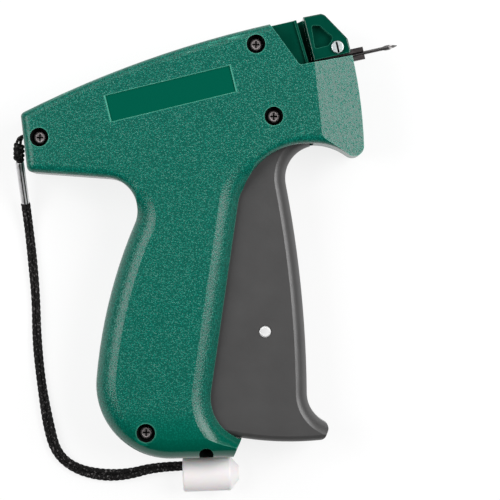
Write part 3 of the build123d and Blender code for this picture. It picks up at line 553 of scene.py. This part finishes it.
polished = steel("polished_steel", (0.71, 0.77, 0.77), rough=(0.40, 0.52), stretch=4,
                 slots=(LOCK_SLOT,))
pin_steel = steel("pin_steel", (0.92, 0.92, 0.92), rough=(0.60, 0.70), stretch=2)
screw_steel = steel("screw_steel", (0.66, 0.60, 0.60), rough=(0.46, 0.62), stretch=1,
                    slots=SHADED_MIDDLES + CROSS_SLOTS)
drawn = steel("drawn_steel", (0.13, 0.115, 0.115), rough=(0.28, 0.44), stretch=12,
              turn_angle=NEEDLE_TILT)
needle_steel = steel("needle_steel", (0.25, 0.24, 0.24), rough=(0.34, 0.46), stretch=12,
                     turn_angle=NEEDLE_TILT)
sleeve_steel = steel("sleeve_steel", (0.97, 0.96, 0.97), rough=(0.50, 0.60), stretch=4,
                     dark_stripes=SLEEVE_SEAM_AND_SHADOW)
dress(polished, "needle_lock_screw", "cutter_blade")
dress(pin_steel, "trigger_pivot_pin", "link_pin", "lever_fulcrum_pin", "feed_wheel_axle")
dress(screw_steel, "housing_screws")
dress(drawn, "needle_base", "drive_lever")
dress(needle_steel, "needle", "push_rod")
dress(sleeve_steel, "lanyard_crimp")

# %% [markdown]
# ## White cap
# The needle cap is soft white polyethylene, which lets some light in. Plain white would look like
# chalk, so a little subsurface scattering stands for that.

# %% Cap finish
CAP_WHITE = (0.90, 0.87, 0.87)
CAP_SHADE = (0.86, 0.83, 0.83)
CAP_SCATTER = 0.25
CAP_SCATTER_DEPTH = 1.5 * MM
CAP_CLOUD_SCALE = 130
CAP_ROUGH = (0.36, 0.48)
CAP_RELIEF = (0.1, 0.1 * MM)

cap_finish, tree, shader = start_finish(
    "cap_white", CAP_WHITE, Subsurface_Weight=CAP_SCATTER, Subsurface_Scale=CAP_SCATTER_DEPTH)
spot = add(tree, "TexCoord").outputs["Object"]
cloud = grain(tree, "Noise", spot, CAP_CLOUD_SCALE, Detail=4).outputs["Fac"]
tree.links.new(tint(tree, cloud, CAP_WHITE, CAP_SHADE), shader.inputs["Base Color"])
tree.links.new(spread(tree, cloud, *NOISE_RANGE, *CAP_ROUGH), shader.inputs["Roughness"])
relief(tree, shader, cloud, *CAP_RELIEF)
dress(cap_finish, "needle_cap")

# %% [markdown]
# ## Braided lanyard
# The lanyard is one braided cord, doubled, so two strands lie side by side from the metal sleeve
# to the cap. A bump map would stay flat at its edges, so the braid is real: each strand is a tube
# whose radius rises and falls along two crossing sets of ridges. The line comes from a NURBS
# curve with the route's points as its control points.

# %% Cord finish
CORD_BLACK = (0.0035, 0.003, 0.003)
CORD_GREY = (0.15, 0.14, 0.14)
CORD_SHADER = {
    "Roughness": 0.75, "Sheen Weight": 0.03, "Sheen Roughness": 0.4, "Specular IOR Level": 0.2}
FUZZ_SCALE = 1300
FUZZ_RANGE = (0.57, 0.74)
FUZZ_RELIEF = (0.3, 0.08 * MM)

cord_finish, tree, shader = start_finish("braid_black", CORD_BLACK, **CORD_SHADER)
spot = add(tree, "TexCoord").outputs["Object"]
fuzz = grain(tree, "Noise", spot, FUZZ_SCALE, Detail=3).outputs["Fac"]
colour = tint(tree, spread(tree, fuzz, *FUZZ_RANGE), CORD_BLACK, CORD_GREY)
tree.links.new(colour, shader.inputs["Base Color"])
relief(tree, shader, fuzz, *FUZZ_RELIEF)
print("cord finish", cord_finish.name)

# %% Line of a route
SPLINE_ORDER = 3


def route_line(name, points, steps):
    """Points along a NURBS curve, whose control points are a route in millimetres."""
    curve = bpy.data.curves.new(name, "CURVE")
    curve.dimensions = "3D"
    spline = curve.splines.new("NURBS")
    spline.points.add(len(points) - 1)
    for knot, point in zip(spline.points, points):
        knot.co = (*(part * MM for part in point), 1)
    spline.order_u = SPLINE_ORDER
    spline.use_endpoint_u = True
    spline.resolution_u = steps
    holder = bpy.data.objects.new(name, curve)
    mesh = bpy.data.meshes.new_from_object(holder)
    line = [vertex.co.copy() for vertex in mesh.vertices]
    bpy.data.objects.remove(holder)
    bpy.data.curves.remove(curve)
    bpy.data.meshes.remove(mesh)
    return line


print("routes become NURBS lines of order", SPLINE_ORDER)

# %% Rings along a strand
SIDES = 20
RIDGES_ROUND = 3
RIDGE_HEIGHT = 0.09
RIDGE_MEAN = 0.78


def strand_rings(line, radius, stitch, shift=lambda along: (0.0, 0.0), up=(0, 0, 1),
                 ridges=RIDGE_HEIGHT, thicken=lambda along: 1.0):
    """Rings of a braided strand, or of plain wire without ridges.

    shift gives the strand's place off the line, and thicken how much thicker it is there.
    """
    rings = []
    along = 0.0
    for index, point in enumerate(line):
        before, after = line[max(index - 1, 0)], line[min(index + 1, len(line) - 1)]
        along += (point - before).length
        ahead = (after - before).normalized()
        side = ahead.cross(Vector(up)).normalized()
        above = side.cross(ahead)
        beside, over = shift(along)
        centre = point + side * beside + above * over
        lay = 2 * math.pi * along / stitch
        ring = []
        for corner in range(SIDES):
            angle = 2 * math.pi * corner / SIDES
            ridge = max(math.cos(RIDGES_ROUND * angle + lay), math.cos(RIDGES_ROUND * angle - lay))
            reach = radius * thicken(along) * (1 + ridges * (ridge - RIDGE_MEAN))
            sideways, upwards = reach * math.cos(angle), reach * math.sin(angle)
            ring.append(centre + side * sideways + above * upwards)
        rings.append(ring)
    return rings


print("a strand has", SIDES, "sides")

# %% Tubes from rings
SMOOTH_ANGLE = math.radians(60)


def tubes(name, strands, finish):
    """One mesh of several strands, each a closed tube with capped ends."""
    points, faces = [], []
    for rings in strands:
        first = len(points)
        for ring in rings:
            points += ring
        for row in range(len(rings) - 1):
            here = first + row * SIDES
            there = here + SIDES
            for corner in range(SIDES):
                after = (corner + 1) % SIDES
                faces.append((here + corner, here + after, there + after, there + corner))
        last = len(points) - SIDES
        faces.append(tuple(range(first + SIDES - 1, first - 1, -1)))
        faces.append(tuple(range(last, last + SIDES)))
    mesh = bpy.data.meshes.new(name)
    mesh.from_pydata(points, [], faces)
    mesh.materials.append(finish)
    thing = bpy.data.objects.new(name, mesh)
    bpy.context.scene.collection.objects.link(thing)
    bpy.ops.object.select_all(action="DESELECT")
    thing.select_set(True)
    bpy.context.view_layer.objects.active = thing
    bpy.ops.object.mode_set(mode="EDIT")
    bpy.ops.mesh.select_all(action="SELECT")
    bpy.ops.mesh.normals_make_consistent(inside=False)
    bpy.ops.object.mode_set(mode="OBJECT")
    bpy.ops.object.shade_smooth_by_angle(angle=SMOOTH_ANGLE)
    print(name, "has", len(mesh.vertices), "points")
    return thing


def braid(name, strands):
    """Piece of the lanyard, which lies beside the housing."""
    thing = tubes(name, strands, cord_finish)
    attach(thing, "housing")
    return thing


print("tubes are smooth up to", round(math.degrees(SMOOTH_ANGLE)), "degrees")

# %% Two strands beside each other, loose in places
STRAND_RADIUS = 0.92 * MM
HALF_GAP = 0.84 * MM
STITCH = 2.1 * MM
TWIST_MOST = 0.45
TWIST_LENGTH = 58 * MM
TWIST_START = 0.6
LOOSE_LIFT = 1.6
# Each loose place: how far along, how long it is to each side, and how much thicker
LOOSE_PLACES = ((86 * MM, 13 * MM, 0.20), (115 * MM, 15 * MM, 0.26))


def bulge(along):
    """How much thicker the cord is where its strands lie loose, in its bend and near the cap."""
    return 1 + sum(more * math.exp(-((along - place) / reach)**2)
                   for place, reach, more in LOOSE_PLACES)


def sway(along, half_gap):
    """Strands beside each other, which twist slowly to and fro and rise where they are loose."""
    tip = TWIST_MOST * math.sin(2 * math.pi * along / TWIST_LENGTH + TWIST_START)
    gap = half_gap * bulge(along)
    lift_up = LOOSE_LIFT * STRAND_RADIUS * (bulge(along) - 1)
    return gap * math.cos(tip), gap * math.sin(tip) + lift_up


print("thickest at", [round(bulge(place), 2) for place, reach, more in LOOSE_PLACES])

# %% The free cord
CORD_ROUTE = (
    (-68.1, 12.2, 5.0), (-67.2, 4.25, 1.82), (-65.7, -9.5, 1.5), (-64.5, -23.4, 1.5),
    (-64.2, -38.2, 1.5), (-62.6, -53.8, 1.5), (-60.0, -69.2, 1.5), (-57.2, -79.6, 1.5),
    (-50.6, -85.4, 1.5), (-40.9, -88.0, 1.5), (-30.7, -87.8, 1.6), (-20.3, -84.9, 2.3),
    (-10.2, -84.4, 4.6),
)
CORD_STEPS = 60

cord_line = route_line("cord_route", CORD_ROUTE, CORD_STEPS)
cord_strands = []
for half_gap in (HALF_GAP, -HALF_GAP):
    cord_strands.append(strand_rings(
        cord_line, STRAND_RADIUS, STITCH, lambda along, gap=half_gap: sway(along, gap),
        thicken=bulge))
cord = braid("lanyard_braid", cord_strands)
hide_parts("lanyard_cord")

# %% [markdown]
# ## Hitch and loop
# The lanyard's thin end goes round a screw boss inside the shells, leaves through a hole in the
# rear wall as two strands, and is hitched just above the metal sleeve. The hitch could be a lump,
# but here it is the same braid: three and a half turns of a strand round a core.

# %% Loop strands
LOOP_RADIUS = 0.55 * MM
LOOP_STITCH = 1.5 * MM
LOOP_STEPS = 24
LOOP_ROUTES = (
    ((-62.6, 37.0, 15.5), (-66.2, 36.7, 15.5), (-68.4, 36.5, 15.4), (-70.2, 35.4, 14.9),
     (-70.7, 32.6, 13.9), (-70.1, 29.6, 12.6), (-70.2, 26.6, 10.9)),
    ((-62.6, 36.2, 14.5), (-66.2, 36.5, 14.5), (-68.4, 36.3, 14.3), (-69.3, 34.6, 13.8),
     (-69.3, 32.0, 12.9), (-69.4, 29.4, 11.8), (-69.3, 26.8, 10.8)),
)

loop_strands = []
for number, route in enumerate(LOOP_ROUTES):
    line = route_line(f"loop_route_{number}", route, LOOP_STEPS)
    loop_strands.append(strand_rings(line, LOOP_RADIUS, LOOP_STITCH))
loop = braid("lanyard_loop_strands", loop_strands)
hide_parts("lanyard_loop")

# %% Hitch
HITCH_START = Vector((-69.8, 33.4, 13.6))
HITCH_END = Vector((-70.0, 28.0, 11.4))
HITCH_TURNS = 3.5
HITCH_WIDE = 0.95
HITCH_OVAL = 1.25
HITCH_BELLY = 0.12
HITCH_RADIUS = 0.85 * MM
HITCH_STITCH = 1.6 * MM
HITCH_STEPS = 8
CORE_END = Vector((-69.85, 27.0, 10.95))
CORE_RADIUS = 1.15 * MM
CORE_STEPS = 40
POINTS_A_TURN = 12

axis = (HITCH_END - HITCH_START).normalized()
flat = axis.cross(Vector((0, 0, 1))).normalized()
upright = flat.cross(axis)
turns = []
for step in range(int(POINTS_A_TURN * HITCH_TURNS) + 1):
    angle = 2 * math.pi * step / POINTS_A_TURN
    share = step / (POINTS_A_TURN * HITCH_TURNS)
    wide = HITCH_WIDE * (1 + HITCH_BELLY * math.sin(math.pi * share))
    across = flat * (HITCH_OVAL * wide * math.cos(angle)) + upright * (wide * math.sin(angle))
    turns.append(HITCH_START.lerp(HITCH_END, share) + across)
hitch_line = route_line("hitch_route", turns, HITCH_STEPS)
core_route = (HITCH_START, HITCH_START.lerp(CORE_END, 0.5), CORE_END)
core_line = route_line("hitch_core", core_route, CORE_STEPS)
hitch = braid("lanyard_hitch", [strand_rings(hitch_line, HITCH_RADIUS, HITCH_STITCH, up=axis),
                                strand_rings(core_line, CORE_RADIUS, HITCH_STITCH)])
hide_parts("lanyard_knot")

# %% [markdown]
# ## Return spring
# A coil spring in the handle pushes the trigger forward again. The solid coil keeps its length,
# and would stick out of the trigger when that is squeezed. So the same coil is drawn here as a
# wire along a helix.

# %% Spring coil as a wire along a helix
COIL_START = Vector((-35.3, -58.25, 15.0))
COIL_END = Vector((12.88, -58.25, 15.0))
# A NURBS line with twelve points a turn runs at this share of their radius
CUT_INSIDE = 0.97
COIL_RADIUS = 4.0 / CUT_INSIDE
COIL_TURNS = 8
COIL_STEPS = 4
WIRE_RADIUS = 0.6 * MM

helix = []
for step in range(POINTS_A_TURN * COIL_TURNS + 1):
    angle = 2 * math.pi * step / POINTS_A_TURN
    round_axis = Vector((0, COIL_RADIUS * math.cos(angle), COIL_RADIUS * math.sin(angle)))
    helix.append(COIL_START.lerp(COIL_END, step / (POINTS_A_TURN * COIL_TURNS)) + round_axis)
coil_line = route_line("coil_route", helix, COIL_STEPS)
coil_rings = strand_rings(coil_line, WIRE_RADIUS, STITCH, up=(1, 0, 0), ridges=0.0)
coil = tubes("return_spring_coil", [coil_rings], drawn)
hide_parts("return_spring")
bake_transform(coil)
